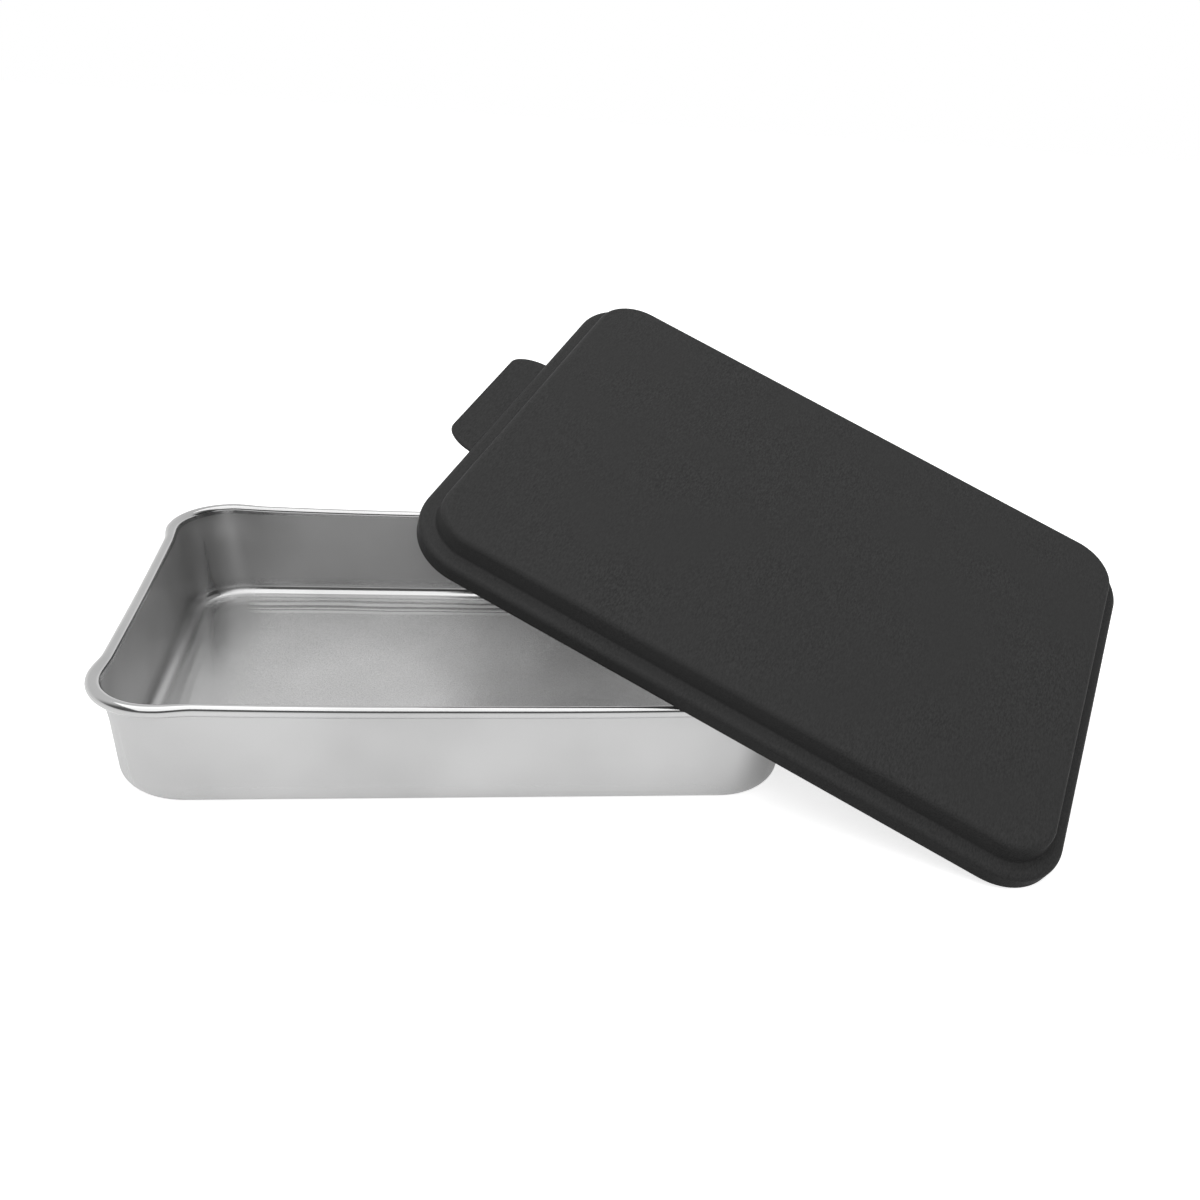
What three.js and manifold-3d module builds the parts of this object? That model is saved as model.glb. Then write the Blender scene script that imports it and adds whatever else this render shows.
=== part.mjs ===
// Covered cake pan: a drawn aluminium pan with a wired rim, and its drawn lid, taken off and leaned on it.
// Millimetres, +Z up, X along the pan's long side, origin under the middle of the pan's base.
import * as THREE from 'three';
import { mergeVertices } from 'three/addons/utils/BufferGeometryUtils.js';
import Module from 'manifold-3d';

const DEGREE = Math.PI / 180;

// Pan: the inside is measured at the rim
const INNER_LENGTH = 328.2;
const INNER_WIDTH = 226.6;
const PAN_HEIGHT = 56.6; // to the rim's top at the middle of a side
const PAN_SHEET = 0.8;
const WALL_DRAFT = 1.5 * DEGREE;
const FLOOR_RADIUS = 7; // bend between wall and floor
const RIM_CORNER = 28; // plan radius of the inside corner at the rim
const BASE_CORNER = 35; // the same corner at the floor

// Rolled rim: it stands out and up a little at the four corners
const WIRE_DIAMETER = 3.6;
const WIRE_GAP = 0.3; // between the wire and the sheet rolled round it
const CURL_SLIT = 0.6; // between the rolled edge and the wall
const EAR_REACH = 2.2; // on the outside of the bead
const EAR_INSIDE = 1; // and on its inside
const EAR_FADE = 18; // length of side over which an ear dies away
const EAR_DEPTH = 18; // height of wall that flares out into an ear
const CORNER_RISE = 1.5;
const RISE_FADE = 110;

// Lid
const LID_SHEET = 0.7;
const LID_CLEARANCE = 0.3; // between the ears and the inside of the skirt
const LID_CORNER = 33; // plan radius of the skirt's corner
const SKIRT_HEIGHT = 9;
const LEDGE_WIDTH = 8.1;
const TOP_HEIGHT = 10.4; // of the raised top over the ledge
const TOP_LEAN = 2; // how far the raised top's wall leans in
const SKIRT_BEND = 2.6;
const FOOT_BEND = 1.8;
const TOP_BEND = 2.8;

// Pull tab, bent out of the skirt at one short end, a little off the middle of that side
const TAB_REACH = 18.8;
const TAB_ROOT = 89;
const TAB_TIP = 66; // straight part of its tip
const TAB_EASE = 9.8; // pull of the tab's root on the curve of its sides
const TAB_TURN = 6.2; // pull of its tip on the same curve
const TAB_OFFSET = 3;
const TAB_BEND = 2.2;

// How the lid leans: near edge across the front rim, lowest corner on the table
const LID_TURN = -24.5 * DEGREE;
const LID_DIP = 19.5 * DEGREE; // fall along the lid's length
const LID_TILT = 19 * DEGREE; // rise from its near side to its far side
const LID_SHIFT = 4.2; // from the end of the rim to the middle of the lid
const REST_GAP = 0.3;
const LEAN_PASSES = 4; // rounds of settling the lid's edge on the rim

// Fineness of the facets
const ARC_STEP = 20 * DEGREE;
const CORNER_STEPS = 10;
const SIDE_STEPS = 6;
const FADE_STEPS = 3;
const FLARE_STEPS = 3;
const WIRE_SIDES = 10;
const MERGE = 1e-4;

const wasm = await Module();
wasm.setup();

// Places around a rounded rectangle, anticlockwise: on each corner's arc, then along the side after it
function stationsAround(length, width, radius, sideDistances) {
  const places = [];
  for (let corner = 0; corner < 4; corner++) {
    for (let i = 0; i <= CORNER_STEPS; i++) {
      places.push({ corner, turn: i / CORNER_STEPS, share: 0, fromCorner: 0 });
    }
    const straight = (corner % 2 ? width : length) - 2 * radius;
    for (const distance of sideDistances(straight)) {
      const fromCorner = Math.min(distance, straight - distance);
      places.push({ corner, turn: 1, share: distance / straight, fromCorner });
    }
  }
  return places;
}

// Distances along a side: close together where the ears die away, wider apart between them
function earDistances(straight) {
  const near = Array.from({ length: FADE_STEPS }, (_, i) => (EAR_FADE * (i + 1)) / FADE_STEPS);
  const between = straight - 2 * EAR_FADE;
  const step = between / SIDE_STEPS;
  const middle = Array.from({ length: SIDE_STEPS - 1 }, (_, i) => EAR_FADE + step * (i + 1));
  const far = near.map((distance) => straight - distance).reverse();
  return [...near, ...middle, ...far];
}

const noDistances = () => [];

// Where a station lies on a rounded rectangle of a given size, and which way is out there
function onRectangle({ corner, turn, share }, length, width, radius) {
  const cornerPoint = (index, angle) => {
    const alongX = index === 0 || index === 3 ? 1 : -1;
    const alongY = index < 2 ? 1 : -1;
    return new THREE.Vector2(
      alongX * (length / 2 - radius) + radius * Math.cos(angle),
      alongY * (width / 2 - radius) + radius * Math.sin(angle),
    );
  };
  const angle = (corner + turn) * 90 * DEGREE;
  const next = cornerPoint((corner + 1) % 4, angle);
  return {
    at: cornerPoint(corner, angle).lerp(next, share),
    out: new THREE.Vector2(Math.cos(angle), Math.sin(angle)),
  };
}

// A path through corner points, each rounded to its own radius
function roundedPath(corners) {
  const path = new THREE.Path();
  corners.forEach(({ at, radius }, i) => {
    if (i === 0) {
      path.moveTo(at.x, at.y);
      return;
    }
    if (!radius) {
      path.lineTo(at.x, at.y);
      return;
    }
    const back = corners[i - 1].at.clone().sub(at).normalize();
    const ahead = corners[i + 1].at.clone().sub(at).normalize();
    const half = Math.acos(back.dot(ahead)) / 2;
    const centre = back.clone().add(ahead).setLength(radius / Math.sin(half)).add(at);
    const start = back.clone().multiplyScalar(radius / Math.tan(half)).add(at);
    const end = ahead.clone().multiplyScalar(radius / Math.tan(half)).add(at);
    path.lineTo(start.x, start.y);
    const clockwise = back.cross(ahead) > 0;
    path.absarc(centre.x, centre.y, radius, start.sub(centre).angle(), end.sub(centre).angle(), clockwise);
  });
  return path;
}

// The path's points, with arcs cut into even steps
function pathPoints(path) {
  const points = [];
  for (const curve of path.curves) {
    const sweep = curve.isEllipseCurve ? curve.getLength() / curve.xRadius : 0;
    for (const point of curve.getPoints(Math.max(1, Math.round(sweep / ARC_STEP)))) {
      if (!points.length || point.distanceTo(points.at(-1)) > MERGE) points.push(point);
    }
  }
  return points;
}

// The line beside a path, at a distance to its left
function beside(points, distance) {
  return points.map((point, i) => {
    const before = points[Math.max(i - 1, 0)];
    const after = points[Math.min(i + 1, points.length - 1)];
    const arriving = (i ? point : after).clone().sub(before).normalize();
    const leaving = (after === point ? point.clone().sub(before) : after.clone().sub(point)).normalize();
    const left = new THREE.Vector2(-arriving.y - leaving.y, arriving.x + leaving.x).normalize();
    const mitre = left.x * -leaving.y + left.y * leaving.x;
    return point.clone().addScaledVector(left, distance / mitre);
  });
}

// Both faces of a sheet that follows a path, up one side, round its edge and back down the other
function sheetProfile(points, thickness) {
  const upper = beside(points, thickness / 2);
  const lower = beside(points, -thickness / 2);
  const forward = points.at(-1).clone().sub(points.at(-2)).setLength(thickness / 2);
  return [...upper, points.at(-1).clone().add(forward), ...lower.reverse()];
}

function meshGeometry(vertices, triangles) {
  const geometry = new THREE.BufferGeometry();
  geometry.setAttribute('position', new THREE.Float32BufferAttribute(vertices, 3));
  geometry.setIndex(triangles);
  return geometry;
}

// Rings of one profile point each, joined into a skin: rings[i][j] is profile point i at station j
function skin(rings, closed) {
  const count = rings[0].length;
  const vertices = rings.flat().flatMap((point) => point.toArray());
  const triangles = [];
  const last = closed ? rings.length : rings.length - 1;
  for (let i = 0; i < last; i++) {
    const inner = i * count;
    const outer = ((i + 1) % rings.length) * count;
    for (let j = 0; j < count; j++) {
      const k = (j + 1) % count;
      triangles.push(inner + j, outer + j, outer + k, inner + j, outer + k, inner + k);
    }
  }
  if (!closed) {
    const flat = (ring) => ring.map((point) => new THREE.Vector2(point.x, point.y));
    const below = (rings.length - 1) * count;
    for (const [a, b, c] of THREE.ShapeUtils.triangulateShape(flat(rings[0]), [])) triangles.push(a, b, c);
    for (const [a, b, c] of THREE.ShapeUtils.triangulateShape(flat(rings.at(-1)), [])) {
      triangles.push(below + a, below + c, below + b);
    }
  }
  return meshGeometry(vertices, triangles);
}

function solidOf(geometry) {
  const bare = geometry.clone();
  bare.deleteAttribute('normal');
  bare.deleteAttribute('uv');
  const merged = mergeVertices(bare, MERGE);
  const vertProperties = new Float32Array(merged.attributes.position.array);
  return new wasm.Manifold(
    new wasm.Mesh({ numProp: 3, vertProperties, triVerts: new Uint32Array(merged.index.array) }),
  );
}

function geometryOf(solid) {
  const mesh = solid.getMesh();
  return meshGeometry(Array.from(mesh.vertProperties), Array.from(mesh.triVerts));
}

function named(name, geometry, material) {
  geometry.computeVertexNormals();
  const mesh = new THREE.Mesh(geometry, material);
  mesh.name = name;
  return mesh;
}

// Pan sections: out is measured from the inside of the rim, up from the table
const wireRadius = WIRE_DIAMETER / 2;
const curlInside = wireRadius + WIRE_GAP;
const beadRadius = curlInside + PAN_SHEET;
const rimLength = INNER_LENGTH + 4 * beadRadius;
const rimWidth = INNER_WIDTH + 4 * beadRadius;
const beadCentre = new THREE.Vector2(beadRadius, PAN_HEIGHT - beadRadius);
const beadFoot = PAN_HEIGHT - 2 * beadRadius;

const curlRadius = curlInside + PAN_SHEET / 2;
const curlStart = Math.PI - WALL_DRAFT;
const curlEnd = -Math.acos((CURL_SLIT - curlInside) / beadRadius);
const wallTop = new THREE.Vector2(Math.cos(curlStart), Math.sin(curlStart))
  .multiplyScalar(curlRadius)
  .add(beadCentre);
const wallOut = (height) => wallTop.x - (wallTop.y - height) * Math.tan(WALL_DRAFT);
const floorHeight = PAN_SHEET / 2;
const wallFoot = new THREE.Vector2(wallOut(floorHeight), floorHeight);
const floorStart = new THREE.Vector2(wallFoot.x - 2 * FLOOR_RADIUS, floorHeight);
const flareFoot = new THREE.Vector2(wallOut(beadFoot - EAR_DEPTH), beadFoot - EAR_DEPTH);

const panPath = roundedPath([
  { at: floorStart },
  { at: wallFoot, radius: FLOOR_RADIUS },
  { at: flareFoot },
]);
for (let i = 1; i <= FLARE_STEPS; i++) {
  const height = flareFoot.y + (EAR_DEPTH * i) / FLARE_STEPS;
  panPath.lineTo(wallOut(height), height);
}
panPath.absarc(beadCentre.x, beadCentre.y, curlRadius, curlStart, curlEnd, true);

// Ears and the rise of the corners: full on the bead, gone lower on the wall. The wire stays round.
const panStations = stationsAround(INNER_LENGTH, INNER_WIDTH, RIM_CORNER, earDistances);
const earAt = ({ fromCorner }) => 1 - THREE.MathUtils.smoothstep(fromCorner, 0, EAR_FADE);
const riseAt = ({ fromCorner }) => Math.max(0, 1 - fromCorner / RISE_FADE) ** 2;
const flareAt = (height) => THREE.MathUtils.smoothstep(height, flareFoot.y, beadFoot);
const acrossBead = (out) => THREE.MathUtils.clamp(out / (2 * beadRadius), 0, 1);
const upWall = (height) => THREE.MathUtils.clamp((height - PAN_SHEET) / (beadFoot - PAN_SHEET), 0, 1);
const baseEasing = BASE_CORNER - RIM_CORNER - wallFoot.x;

function panRing({ x: out, y: height }, earOut = out) {
  const reach = THREE.MathUtils.lerp(EAR_INSIDE, EAR_REACH, acrossBead(earOut));
  const radius = RIM_CORNER + out + baseEasing * (1 - upWall(height));
  return panStations.map((station) => {
    const spot = onRectangle(station, INNER_LENGTH + 2 * out, INNER_WIDTH + 2 * out, radius);
    spot.at.addScaledVector(spot.out, reach * earAt(station) * flareAt(height));
    return new THREE.Vector3(spot.at.x, spot.at.y, height + CORNER_RISE * riseAt(station) * upWall(height));
  });
}

const panSection = sheetProfile(pathPoints(panPath), PAN_SHEET);
const panGeometry = skin(panSection.map((point) => panRing(point)), false);

const wireSection = Array.from({ length: WIRE_SIDES }, (_, i) => {
  const angle = (-i / WIRE_SIDES) * 360 * DEGREE;
  return new THREE.Vector2(Math.cos(angle), Math.sin(angle)).multiplyScalar(wireRadius).add(beadCentre);
});
const wireGeometry = skin(wireSection.map((point) => panRing(point, beadCentre.x)), true);

// Lid sections: out is measured from the skirt's outside, up from the skirt's edge
const lidMargin = EAR_REACH + LID_CLEARANCE + LID_SHEET;
const lidLength = rimLength + 2 * lidMargin;
const lidWidth = rimWidth + 2 * lidMargin;
const halfLidSheet = LID_SHEET / 2;
const ledgeHeight = SKIRT_HEIGHT - halfLidSheet;
const topHeight = ledgeHeight + TOP_HEIGHT;
const topEdge = -LEDGE_WIDTH - TOP_LEAN;

const lidPath = roundedPath([
  { at: new THREE.Vector2(topEdge - TOP_BEND, topHeight) },
  { at: new THREE.Vector2(topEdge, topHeight), radius: TOP_BEND },
  { at: new THREE.Vector2(-LEDGE_WIDTH, ledgeHeight), radius: FOOT_BEND },
  { at: new THREE.Vector2(-halfLidSheet, ledgeHeight), radius: SKIRT_BEND },
  { at: new THREE.Vector2(-halfLidSheet, halfLidSheet) },
]);
const lidStations = stationsAround(lidLength, lidWidth, LID_CORNER, noDistances);

function lidRing({ x: out, y: height }) {
  return lidStations.map((station) => {
    const { at } = onRectangle(station, lidLength + 2 * out, lidWidth + 2 * out, LID_CORNER + out);
    return new THREE.Vector3(at.x, at.y, height);
  });
}

const lidShell = solidOf(skin(sheetProfile(pathPoints(lidPath), LID_SHEET).map(lidRing), false));

// Tab: the skirt's sheet turned outwards, cut to the tab's outline, in a window of the skirt
const skirtEnd = -lidLength / 2;
const bendTop = halfLidSheet + TAB_BEND;
const tabTip = skirtEnd - TAB_REACH;
const tabFold = pathPoints(
  roundedPath([
    { at: new THREE.Vector2(skirtEnd + halfLidSheet, bendTop + LID_SHEET) },
    { at: new THREE.Vector2(skirtEnd + halfLidSheet, halfLidSheet), radius: TAB_BEND },
    { at: new THREE.Vector2(tabTip - LID_SHEET, halfLidSheet) },
  ]),
);
const foldFace = new THREE.Shape([
  ...beside(tabFold, halfLidSheet),
  ...beside(tabFold, -halfLidSheet).reverse(),
]);
const fold = new THREE.ExtrudeGeometry(foldFace, { depth: TAB_ROOT, bevelEnabled: false });
fold.rotateX(90 * DEGREE);
fold.translate(0, TAB_OFFSET + TAB_ROOT / 2, 0);

const tabInside = skirtEnd + 2 * LID_SHEET;
const easeEnd = skirtEnd - TAB_EASE;
const tipTurn = TAB_TIP / 2 + TAB_TURN;
const outline = new THREE.Shape();
outline.moveTo(tabInside, -TAB_ROOT / 2);
outline.lineTo(tabInside, TAB_ROOT / 2);
outline.lineTo(skirtEnd, TAB_ROOT / 2);
outline.bezierCurveTo(easeEnd, TAB_ROOT / 2, tabTip, tipTurn, tabTip, TAB_TIP / 2);
outline.lineTo(tabTip, -TAB_TIP / 2);
outline.bezierCurveTo(tabTip, -tipTurn, easeEnd, -TAB_ROOT / 2, skirtEnd, -TAB_ROOT / 2);
const outlineBlock = new THREE.ExtrudeGeometry(outline, { depth: SKIRT_HEIGHT, bevelEnabled: false });
outlineBlock.translate(0, TAB_OFFSET, -LID_SHEET);

const windowBlock = new THREE.BoxGeometry(4 * LID_SHEET, TAB_ROOT, 2 * bendTop);
windowBlock.translate(skirtEnd, TAB_OFFSET, 0);

const tab = solidOf(fold).intersect(solidOf(outlineBlock));
const lidGeometry = geometryOf(lidShell.subtract(solidOf(windowBlock)).add(tab));

// Materials
const bareAluminium = new THREE.MeshStandardMaterial({ color: 0xc6c8ca, roughness: 0.34, metalness: 1 });
const galvanisedSteel = new THREE.MeshStandardMaterial({ color: 0x8c9093, roughness: 0.45, metalness: 1 });
const darkCoating = new THREE.MeshStandardMaterial({ color: 0x3b3b3b, roughness: 0.72, metalness: 0 });

const panShell = named('pan_shell', panGeometry, bareAluminium);
const rimWire = named('rim_wire', wireGeometry, galvanisedSteel);
const lid = named('lid', lidGeometry, darkCoating);

// Lean the lid: its lowest corner just over the table, its near edge just over the front rim
lid.rotation.set(LID_TILT, LID_DIP, LID_TURN, 'ZYX');
const leaning = new THREE.Matrix4().makeRotationFromEuler(lid.rotation);
const lowest = new THREE.Box3().setFromBufferAttribute(
  lidGeometry.getAttribute('position').clone().applyMatrix4(leaning),
).min.z;
lid.position.set(rimLength / 2 + LID_SHIFT, 0, REST_GAP - lowest);

const edgeRun = new THREE.Vector3(1, 0, 0).applyMatrix4(leaning);
const edgeStart = new THREE.Vector3(0, halfLidSheet - lidWidth / 2, halfLidSheet).applyMatrix4(leaning);
const apart = new THREE.Vector3(0, edgeRun.z, -edgeRun.y).normalize();
const rimStraight = rimLength / 2 - RIM_CORNER - 2 * beadRadius;
let crossing = 0;
for (let pass = 0; pass < LEAN_PASSES; pass++) {
  const rise = CORNER_RISE * riseAt({ fromCorner: rimStraight - Math.abs(crossing) });
  const rimAxis = new THREE.Vector3(0, beadRadius - rimWidth / 2, PAN_HEIGHT - beadRadius + rise);
  const needed = beadRadius + halfLidSheet + REST_GAP;
  const offset = edgeStart.clone().add(lid.position).sub(rimAxis);
  lid.position.y += (needed - offset.dot(apart)) / apart.y;
  const start = edgeStart.clone().add(lid.position);
  crossing = start.x + (edgeRun.x * (rimAxis.y - start.y)) / edgeRun.y;
}

const pan = new THREE.Group();
pan.add(panShell, rimWire);
const coveredPan = new THREE.Group();
coveredPan.add(pan, lid);

export default coveredPan;
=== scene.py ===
"""A drawn aluminium cake pan and its dark lid, which leans across the pan's front rim."""
import math

import bmesh
import bpy
import numpy as np
from mathutils import Matrix, Vector


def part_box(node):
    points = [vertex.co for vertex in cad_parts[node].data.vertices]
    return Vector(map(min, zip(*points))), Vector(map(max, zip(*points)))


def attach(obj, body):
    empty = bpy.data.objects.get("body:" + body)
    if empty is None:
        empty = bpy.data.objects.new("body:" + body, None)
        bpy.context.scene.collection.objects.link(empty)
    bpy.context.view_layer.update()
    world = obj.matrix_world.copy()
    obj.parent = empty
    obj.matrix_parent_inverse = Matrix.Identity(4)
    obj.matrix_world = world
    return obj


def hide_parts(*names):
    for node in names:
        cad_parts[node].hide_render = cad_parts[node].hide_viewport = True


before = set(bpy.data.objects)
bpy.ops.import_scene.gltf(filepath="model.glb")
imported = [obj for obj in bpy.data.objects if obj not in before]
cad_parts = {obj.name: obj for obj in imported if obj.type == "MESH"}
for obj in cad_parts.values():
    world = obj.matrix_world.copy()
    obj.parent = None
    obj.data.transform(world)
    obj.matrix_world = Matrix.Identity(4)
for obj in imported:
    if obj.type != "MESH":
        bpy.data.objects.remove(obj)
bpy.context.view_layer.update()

MM = 0.001
DEGREE = math.pi / 180

# Pan, in millimetres: the inside is measured at the rim
INNER_LENGTH = 328.2
INNER_WIDTH = 226.6
PAN_HEIGHT = 56.6
PAN_SHEET = 0.8
WALL_DRAFT = 1.5 * DEGREE
FLOOR_RADIUS = 7
RIM_CORNER = 28
BASE_CORNER = 35

# Shallow ripples that the drawing left round the floor, only a share as high at its short ends
RIPPLE_HEIGHT = 0.2
RIPPLE_LENGTH = 5.5
RIPPLE_START = 2
RIPPLE_REACH = 26
RIPPLE_ENDS = 0.2
WOBBLE = 0.5
WOBBLE_ALONG = 29
WOBBLE_ACROSS = 17

# Rolled rim, which stands out and up a little at the four corners
BEAD_RADIUS = 2.9
CURL_SLIT = 0.6
EAR_REACH = 2.2
EAR_INSIDE = 1
EAR_FADE = 18
EAR_DEPTH = 18
CORNER_RISE = 1.5
RISE_FADE = 110

# Lid, which passes over the rim's ears
LID_SHEET = 0.7
LID_CLEARANCE = 0.3
LID_BEYOND_INSIDE = 2 * BEAD_RADIUS + EAR_REACH + LID_CLEARANCE + LID_SHEET
LID_LENGTH = INNER_LENGTH + 2 * LID_BEYOND_INSIDE
LID_WIDTH = INNER_WIDTH + 2 * LID_BEYOND_INSIDE
LID_CORNER = 33
HALF_SHEET = LID_SHEET / 2
SKIRT_HEIGHT = 9
LEDGE_WIDTH = 8.1
TOP_HEIGHT = 10.4
TOP_LEAN = 2
SKIRT_BEND = 2.6
FOOT_BEND = 1.8
TOP_BEND = 2.8

# Pull tab, bent out of the skirt at the lid's -X end, a little off the middle of that side
TAB_REACH = 18.8
TAB_ROOT = 89
TAB_TIP = 66
TAB_EASE = 9.8
TAB_TURN = 6.2
TAB_OFFSET = 3
TAB_BEND = 2.2
TAB_BEND_TOP = HALF_SHEET + TAB_BEND

# How the lid leans
LID_TURN = -24.5 * DEGREE
LID_DIP = 19.5 * DEGREE
LID_TILT = 19 * DEGREE

# Fineness of the meshes
ARC_STEP = 6 * DEGREE
CORNER_STEPS = 28
SIDE_STEPS = 30
FADE_STEPS = 10
WALL_STEPS = 8
RIPPLE_STEPS = 60
TAB_STEPS = 8
SMOOTH_BELOW = 40 * DEGREE
TOLERANCE = 0.001

# Where one finish of the aluminium passes into the next, in metres out from the middle or up from the base
SCORED_ZONE = (0.08, 0.092)
FLOOR_END_ZONE = (0.105, 0.14)
BEND_END_ZONE = (0.115, 0.135)
WALL_FOOT_ZONE = (0.006, 0.014)
RIM_ZONE = (0.0525, 0.0545)
FLOOR_EDGE_ZONE = (0.102, 0.106)

# How rough each finish of the aluminium is, and how much the grain varies it
FLOOR_FINISH = 0.28
FLOOR_END_FINISH = 0.18
SCORED_FINISH = (0.2, 0.5)
BEND_FINISH = 0.13
BEND_END_FINISH = 0.32
WALL_FINISH = 0.4
RIM_FINISH = 0.1
GRAIN_VARIES = (0.75, 1.25)

# Pattern and colour of the aluminium
ALUMINIUM_GREYS = (0.51, 0.6)
ALUMINIUM_METALLIC = 0.95
CLOUD_SCALE = 14
GRAIN_SCALE = 4500
SCORE_SCALE = 280
SCORE_DRIFT = 0.006
SCORE_EDGE = (0.42, 0.58)

# Galvanised wire
WIRE_GREYS = (0.3, 0.45)
WIRE_FINISH = (0.35, 0.55)
SPANGLE_SCALE = 900
WEAR_SCALE = 400

# Coating of the lid, with a leathery grain that is stronger in some patches than in others
COATING_GREYS = (0.027, 0.047)
COATING_FINISH = 0.5
COATING_GLOSS = 0.05
LEATHER_SCALE = 1400
LEATHER_ROUGHNESS = 0.6
LEATHER_STRETCH = (1, 3, 1)
LEATHER_DEPTH = 0.0004
LEATHER_STRENGTH = 0.7
PATCH_SCALE = 22
PATCH_STRENGTH = (0.25, 1)

# Most of a noise lies between these values
NOISE_RANGE = (0.3, 0.7)
NOISE_MIDDLE = 0.5

# Studio floor: it throws back less light than the camera and the metal see in it, and keeps the shadows
FLOOR_SIZE = 8
FLOOR_COLOUR = 0.35
FLOOR_SEEN_COLOUR = 0.75
FLOOR_GLOW = 0.75
FLOOR_MIRRORED_GLOW = 0.33

# Room that the camera and the metal see, by height from the horizon, 0, to overhead, 1, and front to back
HORIZON = 1
FRONT_CEILING = 0.08
FRONT_FADE = (0.2, 0.4)
BACK_WALL = 0.8
BACK_WALL_FADE = (0.08, 0.4)
BACK_CEILING = 0.3
BACK_CEILING_FADE = (0.75, 0.95)
FRONT_TO_BACK = (-0.25, 0.35)

# Light of the room on all that isn't a mirror, brightest from one direction
AMBIENT = 0.06
KEY_LIGHT = 1.45
KEY_DIRECTION = (-0.2, -0.5, 0.84)
KEY_SPREAD = (0.6, 0.9)

# Lamp that shines straight down, in metres and watts
SOFTBOX_PLACE = (-0.2, -0.15, 1.5)
SOFTBOX_SIZE = (1.6, 2.1)
SOFTBOX_POWER = 16

# Camera, solved from the outlines in the photograph
IMAGE_SIZE = 1200
FOCAL_PIXELS = 1174.95
SENSOR = 36
CLIP_START = 0.01
CAMERA_PLACE = Vector((-9.43, -578.35, 343.8)) * MM
CAMERA_YAW = -8.514 * DEGREE
CAMERA_PITCH = 26.337 * DEGREE
CAMERA_ROLL = 4.581 * DEGREE

# Corners of a ring in their order, and the corner before the side that has the tab
CORNER_SIGNS = np.array([(1, 1), (-1, 1), (-1, -1), (1, -1)])
TAB_SIDE = 1


def smoothstep(value, low, high):
    share = np.clip((value - low) / (high - low), 0, 1)
    return share * share * (3 - 2 * share)


class Ring:
    """Places round a rounded rectangle, anticlockwise: on each corner's arc, then along the side after it."""

    def __init__(self, length, width, radius, side_distances):
        places = []
        for corner in range(4):
            places += [(corner, step / CORNER_STEPS, 0, 0) for step in range(CORNER_STEPS + 1)]
            straight = (width if corner % 2 else length) - 2 * radius
            for distance in side_distances(straight, corner):
                places.append((corner, 1, distance / straight, min(distance, straight - distance)))
        self.count = len(places)
        self.corner = np.array([place[0] for place in places])
        self.turn, self.share, self.from_corner = np.array(places, float)[:, 1:].T

    def outline(self, length, width, radius):
        """The places on a rectangle of this size, and which way is out there."""
        angle = (self.corner + self.turn) * math.pi / 2
        out = np.stack([np.cos(angle), np.sin(angle)], axis=1)
        reach = np.array([length / 2 - radius, width / 2 - radius])
        here = CORNER_SIGNS[self.corner] * reach + radius * out
        there = CORNER_SIGNS[(self.corner + 1) % 4] * reach + radius * out
        return here + (there - here) * self.share[:, None], out

    def neighbours(self):
        """Each place with the next one round, as numbers."""
        return [(j, (j + 1) % self.count) for j in range(self.count)]


def even(start, end, steps):
    """Distances between two ends, without the ends."""
    return list(np.linspace(start, end, steps + 1)[1:-1])


def arc(centre, radius, start, end):
    """Points on an arc between two angles, both included."""
    steps = max(2, round(abs(end - start) / ARC_STEP))
    angles = np.linspace(start, end, steps + 1)
    return [centre + radius * Vector((math.cos(angle), math.sin(angle))) for angle in angles]


def rounded_path(corners):
    """Straight runs between corner points, each rounded to its own radius."""
    points = [corners[0][0]]
    for (before, _), (at, radius), (after, _) in zip(corners, corners[1:], corners[2:]):
        back = (before - at).normalized()
        ahead = (after - at).normalized()
        half = back.angle(ahead) / 2
        centre = at + (back + ahead).normalized() * radius / math.sin(half)
        start = at + back * radius / math.tan(half) - centre
        sweep = math.copysign(math.pi - 2 * half, back.x * ahead.y - back.y * ahead.x)
        begin = math.atan2(start.y, start.x)
        points += arc(centre, radius, begin, begin - sweep)
    return points + [corners[-1][0]]


def beside(points, distance):
    """The line beside a path, at a distance to its left."""
    line = []
    for i, point in enumerate(points):
        arriving = point - points[i - 1] if i else points[1] - point
        leaving = points[i + 1] - point if i + 1 < len(points) else arriving
        left = (arriving.normalized() + leaving.normalized()).normalized().orthogonal()
        mitre = left.dot(leaving.normalized().orthogonal())
        line.append(point + left * distance / mitre)
    return line


def new_object(name, data):
    piece = bpy.data.objects.new(name, data)
    bpy.context.scene.collection.objects.link(piece)
    return piece


def smooth(mesh):
    mesh.shade_smooth()
    mesh.set_sharp_from_angle(angle=SMOOTH_BELOW)


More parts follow.
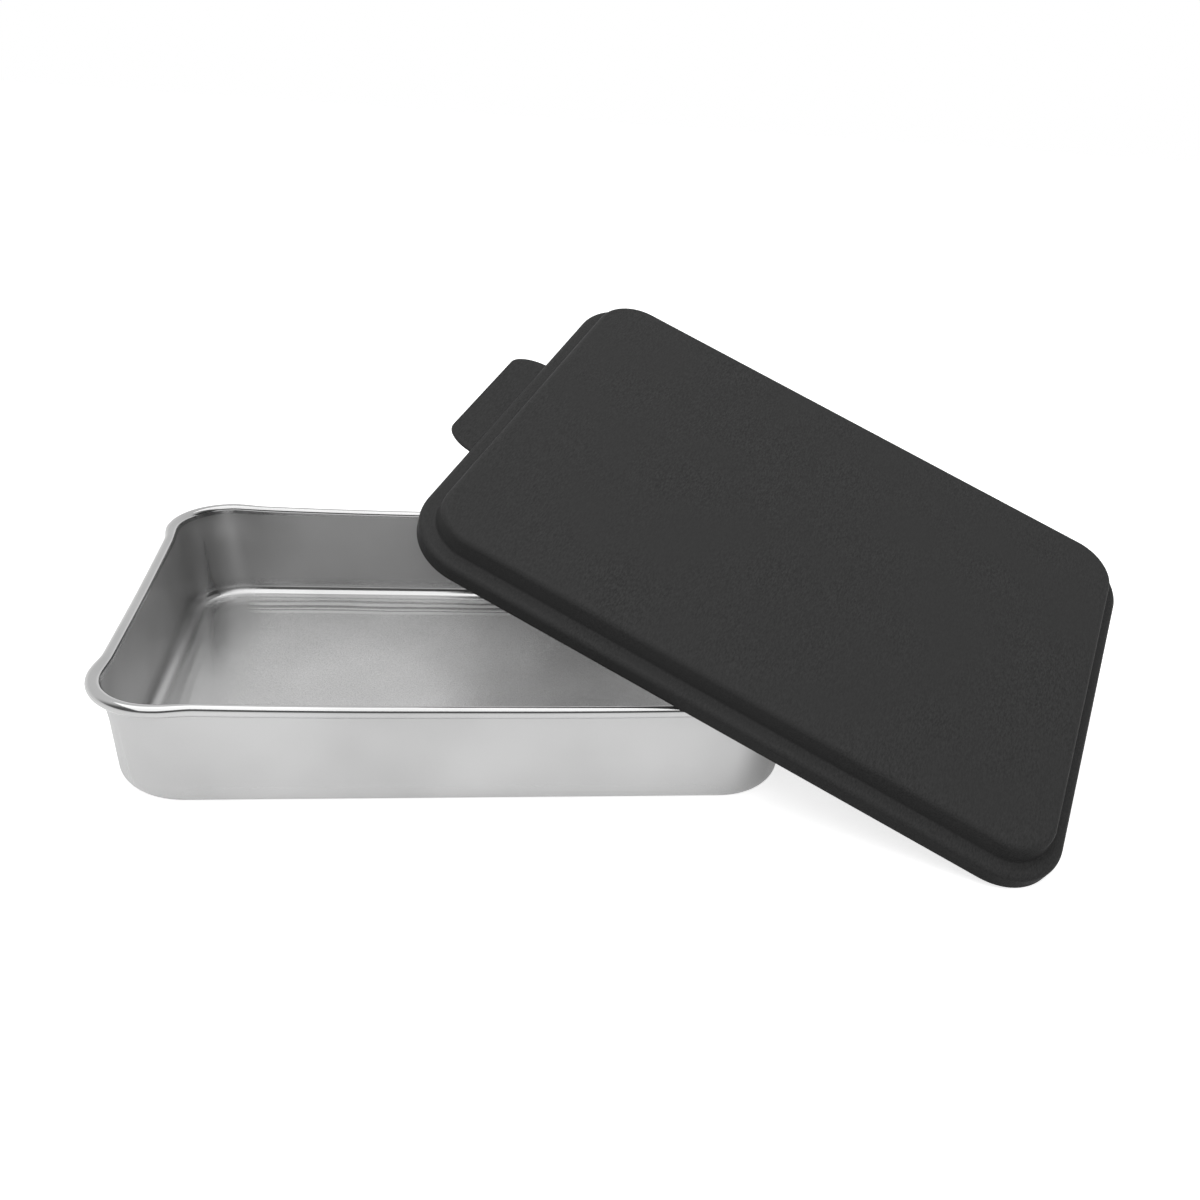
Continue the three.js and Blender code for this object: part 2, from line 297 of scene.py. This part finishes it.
# Pan
def pan_path():
    """The middle of the sheet, over the floor, up the wall and round the rim: out from the rim's inside, up.

    With it come the foot of the wall, as if it had no bend, and where the flat floor ends.
    """
    bead_centre = Vector((BEAD_RADIUS, PAN_HEIGHT - BEAD_RADIUS))
    curl_radius = BEAD_RADIUS - PAN_SHEET / 2
    curl_inside = BEAD_RADIUS - PAN_SHEET
    curl_start = math.pi - WALL_DRAFT
    curl_end = -math.acos((CURL_SLIT - curl_inside) / BEAD_RADIUS)
    curl = arc(bead_centre, curl_radius, curl_start, curl_end)
    wall_top = curl[0]
    floor_height = PAN_SHEET / 2
    wall_foot = Vector((wall_top.x - (wall_top.y - floor_height) * math.tan(WALL_DRAFT), floor_height))
    floor_start = Vector((wall_foot.x - FLOOR_RADIUS - RIPPLE_REACH, floor_height))
    bend = rounded_path([(floor_start, 0), (wall_foot, FLOOR_RADIUS), (wall_top, 0)])[1:-1]
    floor = [floor_start.lerp(bend[0], share) for share in np.linspace(0, 1, RIPPLE_STEPS + 1)[:-1]]
    flare_foot = PAN_HEIGHT - 2 * BEAD_RADIUS - EAR_DEPTH
    flare_share = (flare_foot - bend[-1].y) / (wall_top.y - bend[-1].y)
    shares = even(0, flare_share, WALL_STEPS) + list(np.linspace(flare_share, 1, WALL_STEPS + 1)[:-1])
    wall = [bend[-1].lerp(wall_top, share) for share in shares]
    return floor + bend + wall + curl, wall_foot, bend[0].x


def pan_distances(straight, _corner):
    """Where the ring's places lie along a side: closer together where an ear fades out."""
    near = even(0, EAR_FADE, FADE_STEPS) + [EAR_FADE]
    far = [straight - distance for distance in reversed(near)]
    return near + even(EAR_FADE, straight - EAR_FADE, SIDE_STEPS) + far


def ripple(inward, at, out):
    """How high the floor's ripples are, at places this far in from where the floor's bend starts."""
    wobble = WOBBLE * np.sin(at[:, 0] / WOBBLE_ALONG + at[:, 1] / WOBBLE_ACROSS)
    wave = (1 - np.cos(2 * math.pi * (inward + wobble) / RIPPLE_LENGTH)) / 2
    fade = smoothstep(inward, 0, RIPPLE_START) * (1 - smoothstep(inward, 0, RIPPLE_REACH))
    return RIPPLE_HEIGHT * wave * fade * (RIPPLE_ENDS + (1 - RIPPLE_ENDS) * out[:, 1] ** 2)


def pan_mesh():
    """The pan's sheet with both its faces, as rows of places from the floor out to the rim and back below."""
    ring = Ring(INNER_LENGTH, INNER_WIDTH, RIM_CORNER, pan_distances)
    path, wall_foot, floor_edge = pan_path()
    bead_foot = PAN_HEIGHT - 2 * BEAD_RADIUS
    ear = 1 - smoothstep(ring.from_corner, 0, EAR_FADE)
    rise = CORNER_RISE * np.clip(1 - ring.from_corner / RISE_FADE, 0, 1) ** 2
    base_easing = BASE_CORNER - RIM_CORNER - wall_foot.x

    def places(point):
        up_wall = np.clip((point.y - PAN_SHEET) / (bead_foot - PAN_SHEET), 0, 1)
        across_bead = np.clip(point.x / (2 * BEAD_RADIUS), 0, 1)
        reach = EAR_INSIDE + (EAR_REACH - EAR_INSIDE) * across_bead
        flare = reach * smoothstep(point.y, bead_foot - EAR_DEPTH, bead_foot)
        radius = RIM_CORNER + point.x + base_easing * (1 - up_wall)
        at, out = ring.outline(INNER_LENGTH + 2 * point.x, INNER_WIDTH + 2 * point.x, radius)
        at = at + out * (ear * flare)[:, None]
        height = point.y + rise * up_wall + ripple(floor_edge - point.x, at, out)
        return np.column_stack([at, height]) * MM

    curl_tip = path[-1] + (path[-1] - path[-2]).normalized() * PAN_SHEET / 2
    section = beside(path, PAN_SHEET / 2) + [curl_tip] + beside(path, -PAN_SHEET / 2)[::-1]
    rows = [places(point) for point in section]
    count = ring.count
    last_row = (len(rows) - 1) * count
    floor_inside = list(range(count))
    floor_below = list(range(last_row + count - 1, last_row - 1, -1))
    faces = [floor_inside, floor_below]
    for above in range(0, last_row, count):
        below = above + count
        faces += [[above + j, below + j, below + k, above + k] for j, k in ring.neighbours()]
    mesh = bpy.data.meshes.new("pan_shell_fine")
    mesh.from_pydata(np.concatenate(rows).tolist(), [], faces)
    smooth(mesh)
    return mesh


# Lid
def lid_path():
    """The middle of the sheet, from the top's edge down to where the tab bends: out from the skirt, up."""
    ledge = SKIRT_HEIGHT - HALF_SHEET
    top = ledge + TOP_HEIGHT
    top_edge = -LEDGE_WIDTH - TOP_LEAN
    return rounded_path([
        (Vector((top_edge - TOP_BEND, top)), 0),
        (Vector((top_edge, top)), TOP_BEND),
        (Vector((-LEDGE_WIDTH, ledge)), FOOT_BEND),
        (Vector((-HALF_SHEET, ledge)), SKIRT_BEND),
        (Vector((-HALF_SHEET, TAB_BEND_TOP)), 0),
    ])


def lid_distances(straight, corner):
    """Where the ring's places lie along a side: on the tab's side, two of them are the ends of its root."""
    if corner != TAB_SIDE:
        return even(0, straight, SIDE_STEPS)
    start = (straight - TAB_ROOT) / 2 - TAB_OFFSET
    end = start + TAB_ROOT
    root = list(np.linspace(start, end, SIDE_STEPS + 1))
    return even(0, start, TAB_STEPS) + root + even(end, straight, TAB_STEPS)


def tab_rows():
    """Place, half width and height of each row of the tab, round its bend and then flat out to its tip."""
    skirt_end = -LID_LENGTH / 2
    tip = skirt_end - TAB_REACH
    side_ends = np.array([
        (skirt_end, TAB_ROOT / 2),
        (skirt_end - TAB_EASE, TAB_ROOT / 2),
        (tip, TAB_TIP / 2 + TAB_TURN),
        (tip, TAB_TIP / 2),
    ])
    run = np.linspace(0, 1, 2 * TAB_STEPS + 1)[:, None]
    side = sum(
        math.comb(3, i) * run**i * (1 - run) ** (3 - i) * end
        for i, end in enumerate(side_ends)
    )
    bend_centre = Vector((skirt_end + HALF_SHEET - TAB_BEND, TAB_BEND_TOP))
    bend = arc(bend_centre, TAB_BEND, 0, -math.pi / 2)[1:]
    flat_start = bend[-1].x - HALF_SHEET
    round_bend = [(point.x, TAB_ROOT / 2, point.y) for point in bend]
    flat = [(x, half_width, HALF_SHEET) for x, half_width in side if x < flat_start]
    return round_bend + flat


def lid_mesh():
    """The middle of the lid's sheet, level, with the tab turned out of the skirt."""
    ring = Ring(LID_LENGTH, LID_WIDTH, LID_CORNER, lid_distances)
    from_middle = (0.5 - ring.share) * (LID_WIDTH - 2 * LID_CORNER) - TAB_OFFSET
    on_tab_side = (ring.corner == TAB_SIDE) & (ring.share > 0)
    in_root = np.abs(from_middle) < TAB_ROOT / 2 + TOLERANCE
    tab_columns = np.flatnonzero(on_tab_side & in_root).tolist()
    sheet = bmesh.new()

    def new_point(x, y, z):
        return sheet.verts.new(Vector((x, y, z)) * MM)

    def row(out, height, left_out=()):
        at, _ = ring.outline(LID_LENGTH + 2 * out, LID_WIDTH + 2 * out, LID_CORNER + out)
        return [None if j in left_out else new_point(x, y, height) for j, (x, y) in enumerate(at)]

    def stitch(above, below, columns):
        for j, k in columns:
            sheet.faces.new((above[j], below[j], below[k], above[k]))

    rows = [row(point.x, point.y) for point in lid_path()]
    sheet.faces.new(rows[0])
    for above, below in zip(rows, rows[1:]):
        stitch(above, below, ring.neighbours())

    # Foot of the skirt, left open where the tab is
    beside_tab = [(j, k) for j, k in ring.neighbours() if not (j in tab_columns and k in tab_columns)]
    above = rows[-1]
    for height in np.linspace(TAB_BEND_TOP, 0, TAB_STEPS // 2 + 1)[1:]:
        below = row(-HALF_SHEET, height, left_out=tab_columns[1:-1])
        stitch(above, below, beside_tab)
        above = below

    # Tab
    across = [from_middle[j] / (TAB_ROOT / 2) for j in tab_columns]
    on_tab = [(j, j + 1) for j in range(len(across) - 1)]
    above = [rows[-1][j] for j in tab_columns]
    for x, half_width, height in tab_rows():
        below = [new_point(x, TAB_OFFSET + share * half_width, height) for share in across]
        stitch(above, below, on_tab)
        above = below

    bmesh.ops.recalc_face_normals(sheet, faces=sheet.faces)
    mesh = bpy.data.meshes.new("lid_fine")
    sheet.to_mesh(mesh)
    sheet.free()
    return mesh


def lean(mesh):
    """Turns the lid to its lean and sets it where the frame has it."""
    turn = Matrix.Rotation(LID_TURN, 4, "Z")
    dip = Matrix.Rotation(LID_DIP, 4, "Y")
    tilt = Matrix.Rotation(LID_TILT, 4, "X")
    mesh.transform(turn @ dip @ tilt)
    lowest = np.min([vertex.co for vertex in mesh.vertices], axis=0)
    highest = np.max([vertex.co for vertex in mesh.vertices], axis=0)
    low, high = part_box("lid")
    shift = (Vector(low) + Vector(high) - Vector(lowest) - Vector(highest)) / 2
    mesh.transform(Matrix.Translation(shift))


# Materials
def node_tree(name):
    material = bpy.data.materials.new(name)
    material.use_nodes = True
    return material, material.node_tree, material.node_tree.nodes["Principled BSDF"]


def add_node(tree, kind, inputs=(), **settings):
    """A node with its inputs set by value, or linked from another node's output."""
    node = tree.nodes.new(kind)
    for name, value in settings.items():
        setattr(node, name, value)
    for name, value in dict(inputs).items():
        if isinstance(value, bpy.types.NodeSocket):
            tree.links.new(value, node.inputs[name])
        else:
            node.inputs[name].default_value = value
    return node


def object_place(tree):
    return add_node(tree, "ShaderNodeTexCoord").outputs["Object"]


def noise(tree, place, scale, detail=2, roughness=0.5):
    inputs = {"Vector": place, "Scale": scale, "Detail": detail, "Roughness": roughness}
    return add_node(tree, "ShaderNodeTexNoise", inputs).outputs["Fac"]


def mapped(tree, value, zone, low, high, interpolation):
    inputs = {"Value": value, "From Min": zone[0], "From Max": zone[1], "To Min": low, "To Max": high}
    node = add_node(tree, "ShaderNodeMapRange", inputs, interpolation_type=interpolation)
    return node.outputs["Result"]


def spread(tree, value, low, high):
    """A noise stretched to run between two values."""
    return mapped(tree, value, NOISE_RANGE, low, high, "LINEAR")


def eased(tree, value, zone, before, after):
    """What is before a zone, passing smoothly into what is after it."""
    return mapped(tree, value, zone, before, after, "SMOOTHSTEP")


def grey(level):
    return (level, level, level, 1)


def shaded(tree, share, dark, light):
    """A grey between two levels."""
    node = add_node(tree, "ShaderNodeMix", {"Factor": share}, data_type="RGBA")
    colours = [socket for socket in node.inputs if socket.type == "RGBA"]
    colours[0].default_value = grey(dark)
    colours[1].default_value = grey(light)
    return next(socket for socket in node.outputs if socket.type == "RGBA")


def math_node(tree, operation, *values):
    return add_node(tree, "ShaderNodeMath", enumerate(values), operation=operation).outputs["Value"]


def aluminium():
    """Satin on the walls, brushed along the floor and burnished at the bends and the rim.

    Score lines run along the floor's long sides.
    """
    material, tree, shader = node_tree("satin_aluminium")
    place = object_place(tree)
    parts = add_node(tree, "ShaderNodeSeparateXYZ", {"Vector": place}).outputs
    height = parts["Z"]
    along = math_node(tree, "ABSOLUTE", parts["X"])
    across = math_node(tree, "ABSOLUTE", parts["Y"])
    past_ends = math_node(tree, "SUBTRACT", along, (INNER_LENGTH - INNER_WIDTH) / 2 * MM)
    outward = math_node(tree, "MAXIMUM", past_ends, across)
    clouds = noise(tree, place, CLOUD_SCALE)
    colour = shaded(tree, spread(tree, clouds, 0, 1), *ALUMINIUM_GREYS)
    tree.links.new(colour, shader.inputs["Base Color"])
    shader.inputs["Metallic"].default_value = ALUMINIUM_METALLIC

    drift = math_node(tree, "MULTIPLY", clouds, SCORE_DRIFT)
    score_place = math_node(tree, "ADD", across, drift)
    inputs = {"W": score_place, "Scale": SCORE_SCALE, "Detail": 0}
    scores = add_node(tree, "ShaderNodeTexNoise", inputs, noise_dimensions="1D").outputs["Fac"]
    scored = eased(tree, scores, SCORE_EDGE, *SCORED_FINISH)
    middle = eased(tree, across, SCORED_ZONE, FLOOR_FINISH, scored)
    floor = eased(tree, along, FLOOR_END_ZONE, middle, FLOOR_END_FINISH)
    bend = eased(tree, along, BEND_END_ZONE, BEND_FINISH, BEND_END_FINISH)
    wall = eased(tree, height, WALL_FOOT_ZONE, bend, WALL_FINISH)
    wall_and_rim = eased(tree, height, RIM_ZONE, wall, RIM_FINISH)
    finish = eased(tree, outward, FLOOR_EDGE_ZONE, floor, wall_and_rim)
    grain = noise(tree, place, GRAIN_SCALE, detail=1)
    roughness = math_node(tree, "MULTIPLY", finish, spread(tree, grain, *GRAIN_VARIES))
    tree.links.new(roughness, shader.inputs["Roughness"])

    across_brushing = add_node(tree, "ShaderNodeCombineXYZ", {"Y": 1}).outputs["Vector"]
    brushed = eased(tree, outward, FLOOR_EDGE_ZONE, 1, 0)
    tree.links.new(across_brushing, shader.inputs["Tangent"])
    tree.links.new(brushed, shader.inputs["Anisotropic"])
    return material


def wire_steel():
    material, tree, shader = node_tree("galvanised_wire")
    place = object_place(tree)
    colour = shaded(tree, noise(tree, place, SPANGLE_SCALE, detail=3), *WIRE_GREYS)
    roughness = spread(tree, noise(tree, place, WEAR_SCALE), *WIRE_FINISH)
    tree.links.new(colour, shader.inputs["Base Color"])
    tree.links.new(roughness, shader.inputs["Roughness"])
    shader.inputs["Metallic"].default_value = 1
    return material


def coating():
    material, tree, shader = node_tree("charcoal_coating")
    place = object_place(tree)
    inputs = {"Vector": place, "Rotation": (LID_TILT, LID_DIP, LID_TURN), "Scale": LEATHER_STRETCH}
    along_lid = add_node(tree, "ShaderNodeMapping", inputs, vector_type="TEXTURE").outputs["Vector"]
    leather = noise(tree, along_lid, LEATHER_SCALE, roughness=LEATHER_ROUGHNESS)
    centred = math_node(tree, "SUBTRACT", leather, NOISE_MIDDLE)
    patches = spread(tree, noise(tree, place, PATCH_SCALE, detail=1), *PATCH_STRENGTH)
    grain = math_node(tree, "MULTIPLY_ADD", centred, patches, NOISE_MIDDLE)
    colour = shaded(tree, spread(tree, grain, 0, 1), *COATING_GREYS)
    inputs = {"Height": grain, "Distance": LEATHER_DEPTH, "Strength": LEATHER_STRENGTH}
    relief = add_node(tree, "ShaderNodeBump", inputs).outputs["Normal"]
    tree.links.new(colour, shader.inputs["Base Color"])
    tree.links.new(relief, shader.inputs["Normal"])
    shader.inputs["Roughness"].default_value = COATING_FINISH
    shader.inputs["Specular IOR Level"].default_value = COATING_GLOSS
    return material


# Studio
def seen_directly(tree):
    """One for rays that the camera, gloss or glass sends out, nought for the rest."""
    path = add_node(tree, "ShaderNodeLightPath")
    seen = path.outputs["Is Camera Ray"]
    for name in ("Is Glossy Ray", "Is Transmission Ray"):
        seen = math_node(tree, "MAXIMUM", seen, path.outputs[name])
    return seen


def studio_floor():
    """A white floor that glows for the camera and, more weakly, in the metal that mirrors it."""
    mesh = bpy.data.meshes.new("studio_floor")
    half = FLOOR_SIZE / 2
    corners = [(-half, -half, 0), (half, -half, 0), (half, half, 0), (-half, half, 0)]
    mesh.from_pydata(corners, [], [(0, 1, 2, 3)])
    floor = new_object("studio_floor", mesh)
    material, tree, shader = node_tree("white_floor")
    seen = seen_directly(tree)
    colour = shaded(tree, seen, FLOOR_COLOUR, FLOOR_SEEN_COLOUR)
    mirrored = math_node(tree, "MULTIPLY", seen, FLOOR_MIRRORED_GLOW)
    camera_ray = add_node(tree, "ShaderNodeLightPath").outputs["Is Camera Ray"]
    glow = math_node(tree, "MULTIPLY_ADD", camera_ray, FLOOR_GLOW - FLOOR_MIRRORED_GLOW, mirrored)
    tree.links.new(colour, shader.inputs["Base Color"])
    tree.links.new(glow, shader.inputs["Emission Strength"])
    shader.inputs["Emission Color"].default_value = grey(1)
    shader.inputs["Roughness"].default_value = 1
    shader.inputs["Specular IOR Level"].default_value = 0
    mesh.materials.append(material)


def studio_world():
    """A room to be mirrored, light at its horizon, and a soft key light for all that isn't a mirror."""
    world = bpy.data.worlds.new("studio")
    bpy.context.scene.world = world
    world.use_nodes = True
    tree = world.node_tree
    background = tree.nodes["Background"]
    direction = add_node(tree, "ShaderNodeTexCoord").outputs["Generated"]
    parts = add_node(tree, "ShaderNodeSeparateXYZ", {"Vector": direction}).outputs
    front = eased(tree, parts["Z"], FRONT_FADE, HORIZON, FRONT_CEILING)
    back_wall = eased(tree, parts["Z"], BACK_WALL_FADE, HORIZON, BACK_WALL)
    back = eased(tree, parts["Z"], BACK_CEILING_FADE, back_wall, BACK_CEILING)
    room = eased(tree, parts["Y"], FRONT_TO_BACK, front, back)
    key = {0: direction, 1: KEY_DIRECTION}
    toward_key = add_node(tree, "ShaderNodeVectorMath", key, operation="DOT_PRODUCT").outputs["Value"]
    ambient = eased(tree, toward_key, KEY_SPREAD, AMBIENT, KEY_LIGHT)
    shares = {"Factor": seen_directly(tree), "A": ambient, "B": room}
    level = add_node(tree, "ShaderNodeMix", shares).outputs["Result"]
    background.inputs["Color"].default_value = grey(1)
    tree.links.new(level, background.inputs["Strength"])


def softbox():
    lamp = bpy.data.lights.new("overhead_softbox", "AREA")
    lamp.shape = "RECTANGLE"
    lamp.size, lamp.size_y = SOFTBOX_SIZE
    lamp.energy = SOFTBOX_POWER
    box = new_object("overhead_softbox", lamp)
    box.location = SOFTBOX_PLACE


def studio_camera():
    data = bpy.data.cameras.new("camera")
    data.sensor_width = SENSOR
    data.lens = SENSOR * FOCAL_PIXELS / IMAGE_SIZE
    data.clip_start = CLIP_START
    camera = new_object("camera", data)
    yaw = Matrix.Rotation(CAMERA_YAW, 4, "Z")
    pitch = Matrix.Rotation(math.pi / 2 - CAMERA_PITCH, 4, "X")
    roll = Matrix.Rotation(CAMERA_ROLL, 4, "Z")
    camera.matrix_world = Matrix.Translation(CAMERA_PLACE) @ yaw @ pitch @ roll
    bpy.context.scene.camera = camera


# The pan
pan = new_object("pan_shell_fine", pan_mesh())
pan.data.materials.append(aluminium())
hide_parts("pan_shell")
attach(pan, "pan")

# The lid
lid_sheet = lid_mesh()
lean(lid_sheet)
lid = new_object("lid_fine", lid_sheet)
lid.data.materials.append(coating())
thickness = lid.modifiers.new("sheet", "SOLIDIFY")
thickness.thickness = LID_SHEET * MM
thickness.offset = 0
thickness.use_even_offset = True
smooth(lid.data)
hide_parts("lid")
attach(lid, "lid")

# The wire in the rim, which keeps its CAD shape
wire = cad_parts["rim_wire"]
wire.data.materials.clear()
wire.data.materials.append(wire_steel())

# The studio
studio_floor()
studio_world()
softbox()
studio_camera()
bpy.context.scene.view_settings.view_transform = "Standard"
